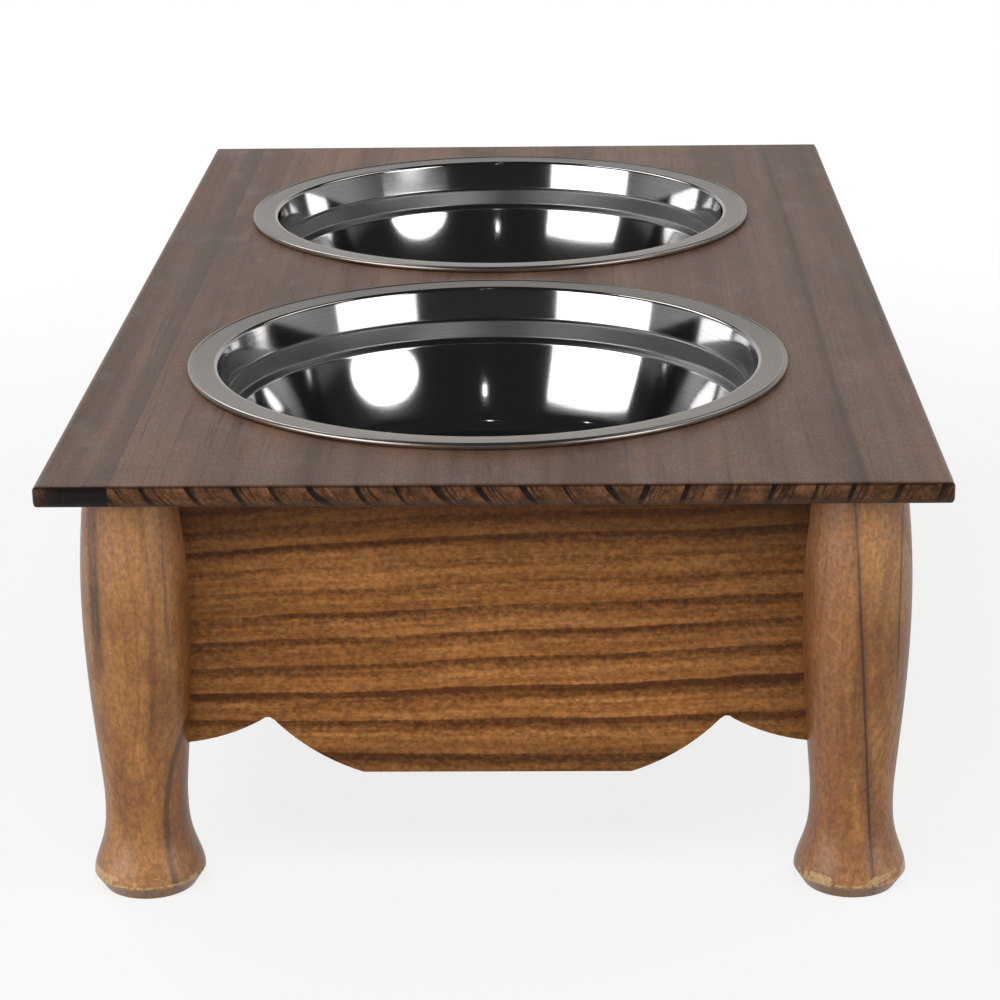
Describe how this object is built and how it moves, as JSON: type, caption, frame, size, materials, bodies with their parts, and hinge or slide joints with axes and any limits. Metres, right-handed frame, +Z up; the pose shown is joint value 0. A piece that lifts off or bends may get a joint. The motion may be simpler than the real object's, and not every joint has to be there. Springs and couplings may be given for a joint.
{
  "type": "elevated dog feeder",
  "caption": "Raised wooden dog feeder with turned legs, scalloped aprons, drop-in steel bowls and a shallow storage drawer in a long side.",
  "frame": {"origin": "on the floor, at the middle of the stand's footprint", "axes": "+Z up, -Y towards the short end that is the front, +X towards the long side that the drawer opens through"},
  "size_m": [0.375, 0.671, 0.1957],
  "materials": {
    "top_wood": "grey-brown walnut stain, satin lacquer, grain front to back",
    "leg_wood": "golden brown oiled pine, turned and sanded smooth",
    "apron_wood": "golden brown oiled pine with dark wavy grain lines",
    "inner_wood": "plain sanded pine, unstained",
    "bowl_steel": "satin rim, polished inside",
    "screw_steel": "zinc plated"
  },
  "bodies": {
    "stand": {"top_panel": "top_wood", "leg_front_left": "leg_wood", "leg_front_right": "leg_wood", "leg_rear_left": "leg_wood", "leg_rear_right": "leg_wood", "end_apron_front": "apron_wood", "end_apron_rear": "apron_wood", "side_apron_left": "apron_wood", "side_apron_right": "apron_wood", "corner_block_front_left": "inner_wood", "corner_block_front_right": "inner_wood", "corner_block_rear_left": "inner_wood", "corner_block_rear_right": "inner_wood", "corner_block_screws": "screw_steel", "top_screws": "screw_steel", "centre_batten": "inner_wood", "drawer_runner_front": "inner_wood", "drawer_runner_rear": "inner_wood", "drawer_kicker_front": "inner_wood", "drawer_kicker_rear": "inner_wood", "kicker_screws": "screw_steel"},
    "front_bowl": {"bowl_front": "bowl_steel"},
    "rear_bowl": {"bowl_rear": "bowl_steel"},
    "drawer": {"drawer_face": "apron_wood", "drawer_side_front": "inner_wood", "drawer_side_rear": "inner_wood", "drawer_back": "inner_wood", "drawer_bottom": "inner_wood", "drawer_stop_front": "inner_wood", "drawer_stop_rear": "inner_wood", "drawer_knob": "leg_wood", "knob_screw": "screw_steel", "drawer_screws": "screw_steel"}
  },
  "joints": [
    {"name": "front_bowl_lift", "type": "slide", "parent": "stand", "child": "front_bowl", "axis": [0, 0, 1], "range_m": [0, 0.1]},
    {"name": "rear_bowl_lift", "type": "slide", "parent": "stand", "child": "rear_bowl", "axis": [0, 0, 1], "range_m": [0, 0.1]},
    {"name": "drawer_slide", "type": "slide", "parent": "stand", "child": "drawer", "axis": [1, 0, 0], "range_m": [0, 0.23]}
  ]
}
